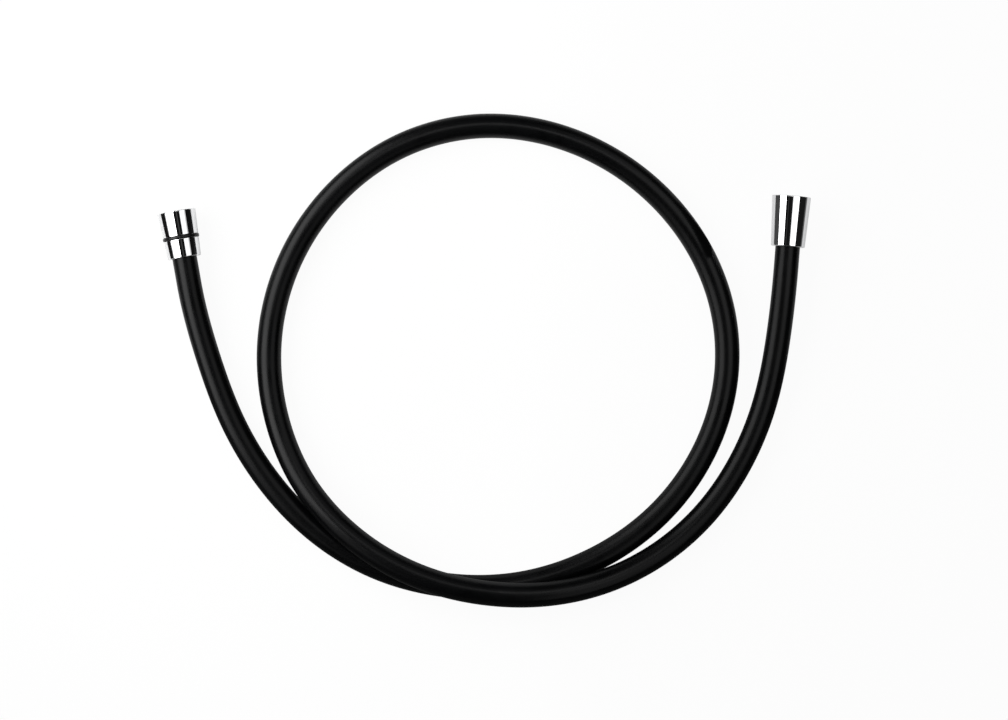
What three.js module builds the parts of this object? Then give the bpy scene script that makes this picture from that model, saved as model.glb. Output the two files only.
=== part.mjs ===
// A shower hose: a smooth black plastic hose with a chromed cone nut at each end.
// One end turns on the hose (the swivel end), so that the hose can't kink at the tap;
// the other end is a plain cone nut. Both take a G 1/2 pipe thread.
//
// The hose lies on a flat surface in one loop and crosses over itself. Units are millimetres,
// +Z is up, the surface is Z = 0 and the origin lies midway between the two end fittings.

import * as THREE from "three";

// Hose
const hoseOuter = 15.4;
const hoseBore = 9;
const hoseSides = 12;
const hoseSteps = 72;

// The G 1/2 pipe thread that each nut takes. The solids have its crest line as a plain bore.
const threadMajor = 20.955;
const threadMinor = 18.631;
const threadDepth = 8;       // from the nut's mouth to the sealing washer
const leadIn = 1.2;

// Clearances
const faceGap = 0.3;         // between two faces that touch on the real hose
const sideGap = 0.3;         // around a piece that lies inside another
const slipGap = 0.2;         // around the pieces that turn in the swivel
const sealGap = 0.15;        // between the O-ring and its groove or bore

// Sealing washer, flange and seat, the same at both ends
const washerBore = 10;
const washerThick = 2;
const flangeThick = 2.2;
const seatThick = 1.6;
const neckOuter = 13.2;      // the neck that passes through the nut's seat

// Hose stem: the barbed tail that holds the hose from inside
const waterway = 5.6;
const barbGap = 0.5;
const barbDepth = 0.4;
const barbPitch = 3.4;
const barbCount = 4;

// Ferrule: the sleeve that holds the hose from outside
const ferruleWall = 0.75;
const ferruleLip = 0.8;
const coneFerruleLength = 13.6;
const swivelFerruleLength = 9.4;

// Cone nut, the plain end
const coneMouthWall = 1.62;
const coneRearWall = 1.5;
const coneLength = 31.5;
const coneAt = [191.8, 22.4];    // centre of its mouth, seen from above
const coneTurn = -4.5;           // degrees from +Y, anticlockwise seen from above

// Swivel end: nut, black ring and sleeve share one cone
const swivelMouthWall = 1.42;
const swivelRearWall = 1.35;
const nutTail = 1;               // the nut's length behind its seat
const nutTailRecess = 1;
const ringThick = 1.8;
const ringProud = 0.4;
const sleeveLength = 11.4;
const sleeveLip = 0.8;
const swivelAt = [-192.1, 13];
const swivelTurn = 10;

// Swivel: the stem's spigot turns in a bush, sealed by an O-ring and held by a clip
const bushWall = 1.4;
const pocketLedge = 0.9;
const pocketDepth = 1.7;
const spigotSetback = 0.1;
const spigotLip = 0.4;
const clipThick = 0.6;
const clipGrooveDepth = 0.8;
const sealSection = 1.2;
const sealGrooveWidth = 2;
const collarThick = 1.3;

// Fine edges of turned metal
const edge = 0.4;

const outerSegments = 48;
const innerSegments = 24;

// The hose's way from the swivel end to the cone end, seen from above. The third number is how
// high the hose is lifted off the surface, in hose diameters. It only leaves the surface
// where it crosses over itself, in a long low hump, and beside the fittings.
const route = [
  [-171.9, -79.7, 0.12],
  [-157.7, -117.3, 0.02],
  [-136.5, -153, 0.005],
  [-106, -185.5, 0],
  [-69.1, -208.3, 0],
  [-26.5, -220.1, 0],
  [20, -220, 0],
  [66.5, -205.5, 0],
  [108.2, -176.7, 0],
  [137.7, -136.1, 0],
  [151.3, -88.5, 0],
  [146.8, -39.9, 0],
  [124.9, 4.4, 0],
  [88.4, 39.8, 0],
  [43.4, 61.1, 0],
  [-6, 66.3, 0],
  [-53.9, 53.3, 0],
  [-93.5, 24, 0],
  [-121.6, -17.7, 0.005],
  [-134.2, -67.5, 0.025],
  [-130.1, -114.4, 0.14],
  [-112.6, -156.1, 0.43],
  [-88.7, -184.2, 0.78],
  [-61.7, -203.9, 0.96],
  [-30.3, -217.7, 1.04],
  [2.6, -224.6, 1.03],
  [38, -225.2, 0.88],
  [72.6, -218.3, 0.56],
  [108.8, -200.9, 0.23],
  [138.3, -175.3, 0.055],
  [160.4, -143.2, 0.01],
  [175.4, -106.1, 0.03],
  [183.3, -67.5, 0.13],
];

// Diameters that follow from the sizes above
const washerOuter = threadMinor - 2 * sideGap;
const seatBore = neckOuter + 2 * sideGap;
const barbOuter = hoseBore - 2 * barbGap;
const barbRoot = barbOuter - 2 * barbDepth;
const ferruleBore = hoseOuter + 2 * sideGap;
const ferruleOuter = ferruleBore + 2 * ferruleWall;
const chamberBore = ferruleOuter + 2 * sideGap;
const coneMouth = threadMajor + 2 * coneMouthWall;
const coneRear = chamberBore + 2 * coneRearWall;
const swivelMouth = threadMajor + 2 * swivelMouthWall;
const swivelRear = chamberBore + 2 * swivelRearWall;
const bushBore = neckOuter - 2 * bushWall;
const bushPocket = bushBore + 2 * pocketLedge;
const spigotOuter = bushBore - 2 * slipGap;
const clipGroove = spigotOuter - 2 * clipGrooveDepth;
const sealGroove = bushBore - 2 * (sealSection + 2 * sealGap);

// Distances from a nut's mouth that follow from the sizes above
const washerBack = threadDepth + washerThick;
const flangeFront = washerBack + faceGap;
const flangeBack = flangeFront + flangeThick;
const seatFront = flangeBack + faceGap;
const seatBack = seatFront + seatThick;
const coneNeckBack = seatBack + faceGap;
const nutLength = seatBack + nutTail;
const ringFront = nutLength + faceGap;
const ringBack = ringFront + ringThick;
const sleeveFront = ringBack + faceGap;
const swivelLength = sleeveFront + sleeveLength;
const collarBack = sleeveFront + sleeveLip;
const collarFront = collarBack - collarThick;
const bushBack = collarFront - faceGap;
const spigotFront = flangeFront + spigotSetback;
const clipFront = spigotFront + spigotLip + faceGap;
const clipBack = clipFront + clipThick;
const clipGrooveBack = clipBack + faceGap;
const sealMiddle = (clipGrooveBack + bushBack) / 2;
const sealFront = sealMiddle - sealGrooveWidth / 2;
const sealBack = sealMiddle + sealGrooveWidth / 2;

// The hose leaves each fitting straight, past the end of its stem, and level until it bends.
const tailLength = barbPitch * (barbCount + 1);
const straightRun = tailLength + 3;
const levelRun = straightRun + 8;

const black = { color: 0x0b0c0d, roughness: 0.42, metalness: 0 };
const chrome = { color: 0xdfe1e4, roughness: 0.06, metalness: 1 };
const brass = { color: 0xb8914a, roughness: 0.3, metalness: 1 };
const rubber = { color: 0x161616, roughness: 0.75, metalness: 0 };
const whitePlastic = { color: 0xe4e2da, roughness: 0.5, metalness: 0 };
const steel = { color: 0xb4b8bc, roughness: 0.25, metalness: 1 };

function named(name, geometry, finish) {
  const mesh = new THREE.Mesh(geometry, new THREE.MeshStandardMaterial(finish));
  mesh.name = name;
  return mesh;
}

// A turned piece. Its section is a closed list of [diameter, distance from the mouth], the outer
// side first, from the mouth to the rear, and then the inner side back to the mouth.
function turned(section, segments) {
  const points = section.map(([across, depth]) => new THREE.Vector2(across / 2, -depth));
  points.reverse();
  points.push(points[0].clone());
  return new THREE.LatheGeometry(points, segments);
}

function washer(name) {
  const section = [
    [washerOuter, threadDepth],
    [washerOuter, washerBack],
    [washerBore, washerBack],
    [washerBore, threadDepth],
  ];
  return named(name, turned(section, outerSegments), rubber);
}

// The hollow front of a nut, from its seat to its mouth: threaded bore and lead-in.
function nutSocket() {
  return [
    [seatBore, seatBack],
    [seatBore, seatFront],
    [threadMinor, seatFront],
    [threadMinor, leadIn],
    [threadMajor + 2 * sideGap, 0],
  ];
}

// A ferrule whose lip starts at a given distance from the mouth.
function ferrule(name, front, length) {
  const lipBore = barbOuter + 2 * sideGap;
  const back = front + length;
  const section = [
    [ferruleOuter - 2 * edge, front],
    [ferruleOuter, front + edge],
    [ferruleOuter, back],
    [ferruleBore, back],
    [ferruleBore, front + ferruleLip],
    [lipBore, front + ferruleLip],
    [lipBore, front],
  ];
  return named(name, turned(section, innerSegments), steel);
}

// Where the hose starts behind a ferrule's lip.
function hoseStart(ferruleFront) {
  return ferruleFront + ferruleLip + faceGap;
}

// The barbed tail of a stem, from its shoulder to its end.
function barbedTail(shoulder) {
  const points = [[barbOuter, shoulder]];
  for (let barb = 1; barb <= barbCount; barb++) {
    const crest = shoulder + barb * barbPitch;
    points.push([barbOuter, crest], [barbRoot, crest]);
  }
  points.push([barbRoot, shoulder + tailLength]);
  return points;
}

function coneNut() {
  const section = [
    [coneMouth - 2 * edge, 0],
    [coneMouth, edge],
    [coneRear, coneLength - edge],
    [coneRear - 2 * edge, coneLength],
    [chamberBore, coneLength],
    [chamberBore, seatBack],
    ...nutSocket(),
  ];
  return named("cone_nut", turned(section, outerSegments), chrome);
}

function coneStem() {
  const tail = barbedTail(coneNeckBack);
  const end = tail[tail.length - 1][1];
  const section = [
    [washerOuter, flangeFront],
    [washerOuter, flangeBack],
    [neckOuter, flangeBack],
    [neckOuter, coneNeckBack],
    ...tail,
    [waterway, end],
    [waterway, flangeFront],
  ];
  return named("cone_stem", turned(section, innerSegments), brass);
}

// The swivel end's cone: its diameter at a distance from the mouth.
function swivelAcross(depth) {
  return swivelMouth + (swivelRear - swivelMouth) * (depth / swivelLength);
}

function swivelNut() {
  const section = [
    [swivelMouth - 2 * edge, 0],
    [swivelAcross(edge), edge],
    [swivelAcross(nutLength), nutLength],
    [seatBore + 2 * nutTailRecess, nutLength],
    [seatBore + 2 * nutTailRecess, seatBack],
    ...nutSocket(),
  ];
  return named("swivel_nut", turned(section, outerSegments), chrome);
}

function swivelRing() {
  const across = swivelAcross(ringFront + ringThick / 2) + 2 * ringProud;
  const shoulder = across - 2 * ringProud - edge;
  const round = ringThick / 4;
  const section = [
    [shoulder, ringFront],
    [across - round, ringFront + round],
    [across, ringFront + 2 * round],
    [across - round, ringBack - round],
    [shoulder, ringBack],
    [seatBore, ringBack],
    [seatBore, ringFront],
  ];
  return named("swivel_ring", turned(section, outerSegments), black);
}

function swivelSleeve() {
  const section = [
    [swivelAcross(sleeveFront) - edge, sleeveFront],
    [swivelAcross(sleeveFront + edge), sleeveFront + edge],
    [swivelAcross(swivelLength - edge), swivelLength - edge],
    [swivelRear - 2 * edge, swivelLength],
    [chamberBore, swivelLength],
    [chamberBore, collarBack],
    [seatBore, collarBack],
    [seatBore, sleeveFront],
  ];
  return named("swivel_sleeve", turned(section, outerSegments), chrome);
}

function swivelBush() {
  const pocketFloor = flangeFront + pocketDepth;
  const section = [
    [washerOuter, flangeFront],
    [washerOuter, flangeBack],
    [neckOuter, flangeBack],
    [neckOuter, bushBack],
    [bushBore, bushBack],
    [bushBore, pocketFloor],
    [bushPocket, pocketFloor],
    [bushPocket, flangeFront],
  ];
  return named("swivel_bush", turned(section, innerSegments), whitePlastic);
}

function swivelStem() {
  const tail = barbedTail(collarBack);
  const end = tail[tail.length - 1][1];
  const section = [
    [spigotOuter, spigotFront],
    [spigotOuter, spigotFront + spigotLip],
    [clipGroove, spigotFront + spigotLip],
    [clipGroove, clipGrooveBack],
    [spigotOuter, clipGrooveBack],
    [spigotOuter, sealFront],
    [sealGroove, sealFront],
    [sealGroove, sealBack],
    [spigotOuter, sealBack],
    [spigotOuter, collarFront],
    [neckOuter, collarFront],
    [neckOuter, collarBack],
    ...tail,
    [waterway, end],
    [waterway, spigotFront],
  ];
  return named("swivel_stem", turned(section, innerSegments), brass);
}

function swivelClip() {
  const outer = bushPocket - 2 * slipGap;
  const bore = clipGroove + 2 * slipGap;
  const section = [
    [outer, clipFront],
    [outer, clipBack],
    [bore, clipBack],
    [bore, clipFront],
  ];
  return named("swivel_clip", turned(section, innerSegments), steel);
}

function swivelSeal() {
  const across = (sealGroove + bushBore) / 2;
  const sides = 8;
  const section = [];
  for (let side = 0; side < sides; side++) {
    const angle = (side / sides) * 2 * Math.PI;
    const out = sealSection * Math.cos(angle);
    const along = (sealSection / 2) * Math.sin(angle);
    section.push([across + out, sealMiddle + along]);
  }
  return named("swivel_o_ring", turned(section, innerSegments), rubber);
}

// A fitting lies on the surface on the rim of its mouth, with its axis level.
function placed(pieces, at, turn, mouth) {
  const fitting = new THREE.Group();
  fitting.add(...pieces);
  fitting.position.set(at[0], at[1], mouth / 2);
  fitting.rotation.z = THREE.MathUtils.degToRad(turn);
  fitting.updateMatrixWorld();
  return fitting;
}

// The hose's middle line inside and just behind a fitting, which is straight and level.
function straightStart(fitting, start) {
  return [0, straightRun, levelRun].map((run) =>
    fitting.localToWorld(new THREE.Vector3(0, -(start + run), 0)));
}

function hosePath(swivelEnd, coneEnd) {
  const middle = route.map(([x, y, lift]) => new THREE.Vector3(x, y, hoseOuter * (0.5 + lift)));
  const last = straightStart(coneEnd, hoseStart(coneNeckBack + faceGap)).reverse();
  const first = straightStart(swivelEnd, hoseStart(collarBack + faceGap));
  const path = new THREE.CatmullRomCurve3([...first, ...middle, ...last]);
  path.arcLengthDivisions = 2000;
  return path;
}

function circle(across) {
  const points = [];
  for (let side = 0; side < hoseSides; side++) {
    const angle = (side / hoseSides) * 2 * Math.PI;
    points.push(new THREE.Vector2(Math.cos(angle) * across / 2, Math.sin(angle) * across / 2));
  }
  return points;
}

function hose(path) {
  const section = new THREE.Shape(circle(hoseOuter));
  section.holes.push(new THREE.Path(circle(hoseBore)));
  const geometry = new THREE.ExtrudeGeometry(section, { steps: hoseSteps, extrudePath: path });
  return named("hose", geometry, black);
}

const swivelEnd = placed([
  swivelNut(),
  swivelRing(),
  swivelSleeve(),
  washer("swivel_washer"),
  swivelBush(),
  swivelStem(),
  swivelSeal(),
  swivelClip(),
  ferrule("swivel_ferrule", collarBack + faceGap, swivelFerruleLength),
], swivelAt, swivelTurn, swivelMouth);

const coneEnd = placed([
  coneNut(),
  washer("cone_washer"),
  coneStem(),
  ferrule("cone_ferrule", coneNeckBack + faceGap, coneFerruleLength),
], coneAt, coneTurn, coneMouth);

const showerHose = new THREE.Group();
showerHose.add(swivelEnd, coneEnd, hose(hosePath(swivelEnd, coneEnd)));

export default showerHose;
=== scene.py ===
# %% [markdown]
# # A shower hose on a white table
#
# The hose is a smooth black plastic tube, laid in one loose loop, with a chromed fitting at each
# end. The left fitting has a swivel: its nut turns, and a thin black ring parts it from a fixed
# sleeve. The right fitting is one plain cone nut.
#
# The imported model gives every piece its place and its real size. This script builds the same
# pieces again as smooth, finely rounded meshes, each in the place of its solid, and gives them
# materials. The pieces' sizes are in millimetres, and a mesh is scaled to metres when it is
# made. The materials and the studio are in metres from the start.

import math

import bmesh
import bpy
import numpy as np
from mathutils import Matrix, Vector


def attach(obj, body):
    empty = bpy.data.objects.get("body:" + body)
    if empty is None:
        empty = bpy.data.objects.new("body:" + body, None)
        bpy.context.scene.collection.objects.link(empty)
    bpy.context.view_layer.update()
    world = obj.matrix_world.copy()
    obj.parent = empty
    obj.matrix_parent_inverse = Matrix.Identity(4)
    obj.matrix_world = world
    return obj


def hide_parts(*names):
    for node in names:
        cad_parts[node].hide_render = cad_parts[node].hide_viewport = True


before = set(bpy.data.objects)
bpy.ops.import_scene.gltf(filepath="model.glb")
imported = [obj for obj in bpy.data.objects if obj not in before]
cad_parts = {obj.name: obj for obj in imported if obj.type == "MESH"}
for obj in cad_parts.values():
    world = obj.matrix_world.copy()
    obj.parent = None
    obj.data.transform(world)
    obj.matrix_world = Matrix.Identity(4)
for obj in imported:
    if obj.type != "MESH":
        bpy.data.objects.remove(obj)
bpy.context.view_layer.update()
MM = 0.001

# %% [markdown]
# ## The camera
#
# The photograph looks straight down on the hose, with hardly any perspective. A long lens far
# above gives that. Its distance follows from the width of the picture at the height of the hose,
# so the object keeps its size in the frame if the lens is changed.

# %% Camera
VIEW_MIDDLE = (12.3, -79.7, 8)
VIEW_WIDTH = 630
LENS = 135
SENSOR = 36

camera_data = bpy.data.cameras.new("camera")
camera_data.lens = LENS
camera_data.sensor_width = SENSOR
camera = bpy.data.objects.new("camera", camera_data)
bpy.context.scene.collection.objects.link(camera)
camera_height = VIEW_WIDTH * LENS / SENSOR
camera.location = (Vector(VIEW_MIDDLE) + Vector((0, 0, camera_height))) * MM
bpy.context.scene.camera = camera
print("camera", [round(x, 4) for x in camera.location])

# %% [markdown]
# ## Where the two fittings are
#
# Each fitting lies on the table on the rim of its mouth, with its axis level. A fitting is
# modelled upright, with its mouth at the origin and its axis along Z, as if it stood on a
# lathe, and one matrix then lays it in its place.

# %% Fittings' places
SWIVEL_MOUTH = 23.795
CONE_MOUTH = 24.195


def lay_down(at, turn, mouth):
    """The matrix that takes a fitting from the lathe to its place on the table."""
    angle = math.radians(turn)
    out = Vector((-math.sin(angle), math.cos(angle), 0))
    up = Vector((0, 0, 1))
    columns = (up.cross(out), up, out)
    place = Matrix.Translation((at[0], at[1], mouth / 2))
    return place @ Matrix([[c[row] for c in columns] for row in range(3)]).to_4x4()


swivel_place = lay_down((-192.1, 13), 10, SWIVEL_MOUTH)
cone_place = lay_down((191.8, 22.4), -4.5, CONE_MOUTH)
print("mouths at", [round(x, 1) for x in swivel_place.translation],
      [round(x, 1) for x in cone_place.translation])

# %% [markdown]
# ## The hose's way
#
# A hose bends evenly, because it is as stiff in one place as in another. A curve that is drawn
# through a few points can have the right places and still look kinked, since its bend may jump
# at each point. So the way is a cubic spline whose bend changes without a jump, and both of its
# ends leave the fittings straight.
#
# The third number of a point is the hose's lift from the table, in hose diameters. It is zero
# all round the loop, and rises in one long low hump where the hose passes over itself.

# %% The route
HOSE_OUTER = 15.4

route = [
    (-171.9, -79.7, 0.12), (-157.7, -117.3, 0.02), (-136.5, -153, 0.005), (-106, -185.5, 0),
    (-69.1, -208.3, 0), (-26.5, -220.1, 0), (20, -220, 0), (66.5, -205.5, 0),
    (108.2, -176.7, 0), (137.7, -136.1, 0), (151.3, -88.5, 0), (146.8, -39.9, 0),
    (124.9, 4.4, 0), (88.4, 39.8, 0), (43.4, 61.1, 0), (-6, 66.3, 0),
    (-53.9, 53.3, 0), (-93.5, 24, 0), (-121.6, -17.7, 0.005), (-134.2, -67.5, 0.025),
    (-130.1, -114.4, 0.14), (-112.6, -156.1, 0.43), (-88.7, -184.2, 0.78), (-61.7, -203.9, 0.96),
    (-30.3, -217.7, 1.04), (2.6, -224.6, 1.03), (38, -225.2, 0.88), (72.6, -218.3, 0.56),
    (108.8, -200.9, 0.23), (138.3, -175.3, 0.055), (160.4, -143.2, 0.01), (175.4, -106.1, 0.03),
    (183.3, -67.5, 0.13),
]
print("the route has", len(route), "points and rises", max(r[2] for r in route), "diameters")


# %% Helpers: a point behind a mouth, and a curve that bends evenly
def behind(place, depth):
    """The point on a fitting's axis that lies so far behind its mouth."""
    return np.array(place @ Vector((0, 0, -depth)))


def even_bend(points, first_way, last_way, steps=12):
    """Points on a cubic spline through the given ones, with set directions at both ends."""
    points = np.array(points)
    count = len(points)
    spans = np.linalg.norm(np.diff(points, axis=0), axis=1)
    slopes = np.diff(points, axis=0) / spans[:, None]
    rows = np.zeros((count, count))
    rows[0, :2] = 2 * spans[0], spans[0]
    rows[-1, -2:] = spans[-1], 2 * spans[-1]
    for i in range(1, count - 1):
        rows[i, i - 1:i + 2] = spans[i - 1], 2 * (spans[i - 1] + spans[i]), spans[i]
    ways = np.vstack([first_way, slopes, last_way])
    bends = np.linalg.solve(rows, 6 * np.diff(ways, axis=0))
    curve = []
    for i in range(count - 1):
        for b in np.arange(steps) / steps:
            a = 1 - b
            pull = ((a ** 3 - a) * bends[i] + (b ** 3 - b) * bends[i + 1]) * spans[i] ** 2 / 6
            curve.append(a * points[i] + b * points[i + 1] + pull)
    return curve + [points[-1]]


print("helpers for the line are ready")

# %% The hose's middle line
SWIVEL_HOSE_START = 20.0
CONE_HOSE_START = 16.1
STRAIGHT_RUN = 20
LEVEL_RUN = 28

swivel_run = [behind(swivel_place, SWIVEL_HOSE_START + r) for r in (0, STRAIGHT_RUN, LEVEL_RUN)]
cone_run = [behind(cone_place, CONE_HOSE_START + r) for r in (LEVEL_RUN, STRAIGHT_RUN, 0)]
lifted = [(x, y, HOSE_OUTER * (0.5 + lift)) for x, y, lift in route]
swivel_way = np.array(swivel_place.col[2][:3])
cone_way = np.array(cone_place.col[2][:3])
bent = even_bend(swivel_run[1:] + lifted + cone_run[:2], -swivel_way, cone_way)
hose_line = np.array([swivel_run[0], *bent, cone_run[2]])
hose_line[:, 2] = np.maximum(hose_line[:, 2], HOSE_OUTER / 2)
hose_length = np.linalg.norm(np.diff(hose_line, axis=0), axis=1).sum()
print("hose length", round(hose_length, 1), "mm in", len(hose_line), "points")

# %% [markdown]
# ## The tube
#
# Geometry Nodes sweep a circle along the line, which is how an extruder makes the hose. The tree
# stores for each point the place that it had on the straight hose: across, across and along. A
# material that reads this attribute runs along the hose, however it lies, with no seam. The wall
# comes after, from Solidify, so that the tube is hollow and its ends are closed rings.

# %% Helper: a node and its inputs
def add_node(tree, kind, inputs=(), **settings):
    """A new node with its settings, and its inputs given as (name or number, value or socket)."""
    node = tree.nodes.new(kind)
    for name, value in settings.items():
        setattr(node, name, value)
    for name, value in inputs:
        socket = node.inputs[name]
        if isinstance(value, bpy.types.NodeSocket):
            tree.links.new(value, socket)
        else:
            socket.default_value = value
    return node


def add_math(tree, operation, *values, **settings):
    """A Math node's result."""
    node = add_node(tree, "ShaderNodeMath", enumerate(values), operation=operation, **settings)
    return node.outputs[0]


def bare_tree(owner):
    """The emptied node tree of a material or a world."""
    owner.use_nodes = True
    owner.node_tree.nodes.clear()
    return owner.node_tree


print("helpers for nodes are ready")


# %% Helpers: a tree from its first node to its last
def new_tree(name, inputs):
    """A Geometry Nodes tree that takes and gives a mesh, with named inputs."""
    tree = bpy.data.node_groups.new(name, "GeometryNodeTree")
    tree.interface.new_socket("Mesh", in_out="INPUT", socket_type="NodeSocketGeometry")
    for label, kind in inputs:
        tree.interface.new_socket(label, in_out="INPUT", socket_type="NodeSocket" + kind)
    tree.interface.new_socket("Mesh", in_out="OUTPUT", socket_type="NodeSocketGeometry")
    return tree, tree.nodes.new("NodeGroupInput").outputs


def end_tree(tree, mesh, material):
    """The last nodes of a tree: real geometry with its material."""
    real = add_node(tree, "GeometryNodeRealizeInstances", [("Geometry", mesh)])
    painted = add_node(tree, "GeometryNodeSetMaterial",
                       [("Geometry", real.outputs[0]), ("Material", material)])
    tree.links.new(painted.outputs[0], tree.nodes.new("NodeGroupOutput").inputs[0])


print("helpers for trees are ready")


# %% Helpers: run a tree and keep its mesh
def run_tree(piece, tree, values):
    """Adds the tree to a piece as a modifier, with its inputs set by their identifiers."""
    modifier = piece.modifiers.new(tree.name, "NODES")
    modifier.node_group = tree
    for item in tree.interface.items_tree:
        if item.in_out == "INPUT" and item.name in values:
            modifier[item.identifier] = values[item.name]
    return modifier


def bake(piece):
    """Turns a piece and its modifiers into a plain mesh."""
    graph = bpy.context.evaluated_depsgraph_get()
    mesh = bpy.data.meshes.new_from_object(
        piece.evaluated_get(graph), preserve_all_data_layers=True, depsgraph=graph)
    piece.modifiers.clear()
    piece.data = mesh
    mesh.name = piece.name
    return piece


def new_piece(name, mesh):
    """An object at the origin that shows this mesh."""
    piece = bpy.data.objects.new(name, mesh)
    bpy.context.scene.collection.objects.link(piece)
    return piece


print("helpers for pieces are ready")


# %% The tree that sweeps the tube
PLACE = "own_place"

hose_tree, given = new_tree("Swept tube", [
    ("Diameter", "Float"), ("Ring spacing", "Float"), ("Sides", "Int"), ("Material", "Material"),
])
line = add_node(hose_tree, "GeometryNodeMeshToCurve", [("Mesh", given["Mesh"])])
rings = add_node(hose_tree, "GeometryNodeResampleCurve", [("Curve", line.outputs[0])])
rings.mode = "LENGTH"
hose_tree.links.new(given["Ring spacing"], rings.inputs["Length"])
along = add_node(hose_tree, "GeometryNodeSplineParameter")
kept_along = add_node(hose_tree, "GeometryNodeCaptureAttribute", [("Geometry", rings.outputs[0])])
kept_along.capture_items.new("FLOAT", "Along")
hose_tree.links.new(along.outputs["Length"], kept_along.inputs["Along"])
radius = add_math(hose_tree, "DIVIDE", given["Diameter"], 2.0)
section = add_node(hose_tree, "GeometryNodeCurvePrimitiveCircle",
                   [("Resolution", given["Sides"]), ("Radius", radius)])
across = add_node(hose_tree, "GeometryNodeInputPosition")
kept_across = add_node(hose_tree, "GeometryNodeCaptureAttribute",
                       [("Geometry", section.outputs[0])])
kept_across.capture_items.new("VECTOR", "Across")
hose_tree.links.new(across.outputs[0], kept_across.inputs["Across"])
tube = add_node(hose_tree, "GeometryNodeCurveToMesh",
                [("Curve", kept_along.outputs[0]), ("Profile Curve", kept_across.outputs[0])])
apart = add_node(hose_tree, "ShaderNodeSeparateXYZ", [(0, kept_across.outputs["Across"])])
place = add_node(hose_tree, "ShaderNodeCombineXYZ",
                 [("X", apart.outputs["X"]), ("Y", apart.outputs["Y"]),
                  ("Z", kept_along.outputs["Along"])])
stored = add_node(hose_tree, "GeometryNodeStoreNamedAttribute",
                  [("Geometry", tube.outputs[0]), ("Name", PLACE)],
                  data_type="FLOAT_VECTOR")
hose_tree.links.new(place.outputs[0], stored.inputs["Value"])
smooth = add_node(hose_tree, "GeometryNodeSetShadeSmooth", [("Geometry", stored.outputs[0])])
end_tree(hose_tree, smooth.outputs[0], given["Material"])
print("tube tree has", len(hose_tree.nodes), "nodes")

# %% Make the hose
HOSE_BORE = 9
RING_SPACING = 3.5
HOSE_SIDES = 56

hose_material = bpy.data.materials.new("satin_black_hose")
wire = bpy.data.meshes.new("hose_line")
wire.from_pydata([Vector(p) * MM for p in hose_line],
                 [(i, i + 1) for i in range(len(hose_line) - 1)], [])
hose = new_piece("hose_tube", wire)
run_tree(hose, hose_tree, {
    "Diameter": HOSE_OUTER * MM, "Ring spacing": RING_SPACING * MM, "Sides": HOSE_SIDES,
    "Material": hose_material,
})
wall = hose.modifiers.new("wall", "SOLIDIFY")
wall.thickness = (HOSE_OUTER - HOSE_BORE) / 2 * MM
wall.offset = -1
bake(hose)
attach(hose, "root")
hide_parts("hose")
print("hose faces", len(hose.data.polygons))

# %% [markdown]
# ## The hose as a cord
#
# A hose has a fixed length, and its bends must be ones that it can really make. The cell below
# prints where the hose leaves the swivel end.

# %% Where the hose leaves the swivel end
SWIVEL_LENGTH = 29.2

print("the hose leaves the swivel end at", behind(swivel_place, SWIVEL_LENGTH).round(1))

# %% [markdown]
# ## Turned pieces
#
# Everything at the hose's ends is turned on a lathe or moulded round: nuts, rings, washers and
# stems are each one outline, carried round an axis. An outline here is a closed list of
# (diameter, depth behind the mouth, corner radius). The corner radius is what makes metal look
# real, since even a sharp turned edge has a fine round that catches a line of light.
#
# Next to each rounded corner the outline gets one more point on the straight. It keeps the
# shading of the long faces exact, so that reflections on the cones run true up to the edge.

# %% Round the corners of an outline
SMALLEST_ROUND = 0.01
LONGEST_SHARE = 0.45
ROOM_FOR_GUARD = 2.5


def rounded(outline, arc_steps=5, guard=0.12):
    """The outline as radius and height, with its corners turned into arcs."""
    corners = [(Vector((across / 2, -depth)), round_by) for across, depth, round_by in outline]
    points = []
    for i, (corner, round_by) in enumerate(corners):
        before = corners[i - 1][0] - corner
        after = corners[(i + 1) % len(corners)][0] - corner
        turn = before.angle(after)
        back = round_by / math.tan(turn / 2) if round_by else 0
        back = min(back, before.length * LONGEST_SHARE, after.length * LONGEST_SHARE)
        if back < SMALLEST_ROUND:
            points.append(corner)
            continue
        start = corner + before.normalized() * back
        end = corner + after.normalized() * back
        if before.length > ROOM_FOR_GUARD * (back + guard):
            points.append(start + before.normalized() * guard)
        for step in range(arc_steps + 1):
            t = step / arc_steps
            points.append(start * (1 - t) ** 2 + corner * 2 * t * (1 - t) + end * t ** 2)
        if after.length > ROOM_FOR_GUARD * (back + guard):
            points.append(end + after.normalized() * guard)
    return points


sample = rounded([(8, 0, 1), (8, 4, 1), (0, 4, 0), (0, 0, 0)])
print("an outline of four corners, two of them rounded, gets", len(sample), "points")

# %% Turn an outline into a mesh
SEGMENTS = 96


def turned(name, outline, segments=SEGMENTS):
    """A closed turned mesh on the lathe, axis along Z, with its mouth at the origin."""
    points = rounded(outline)
    mesh = bmesh.new()
    loops = []
    for step in range(segments):
        angle = 2 * math.pi * step / segments
        c, s = math.cos(angle), math.sin(angle)
        loops.append([mesh.verts.new((p[0] * c, p[0] * s, p[1])) for p in points])
    for step in range(segments):
        one, two = loops[step], loops[(step + 1) % segments]
        for i in range(len(points)):
            j = (i + 1) % len(points)
            mesh.faces.new((one[i], two[i], two[j], one[j]))
    bmesh.ops.recalc_face_normals(mesh, faces=mesh.faces)
    data = bpy.data.meshes.new(name)
    mesh.to_mesh(data)
    mesh.free()
    return new_piece(name, data)


print("a turned piece has", SEGMENTS, "sides")

# %% Lay a turned piece in its place
SHARP_ANGLE = math.radians(38)


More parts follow.
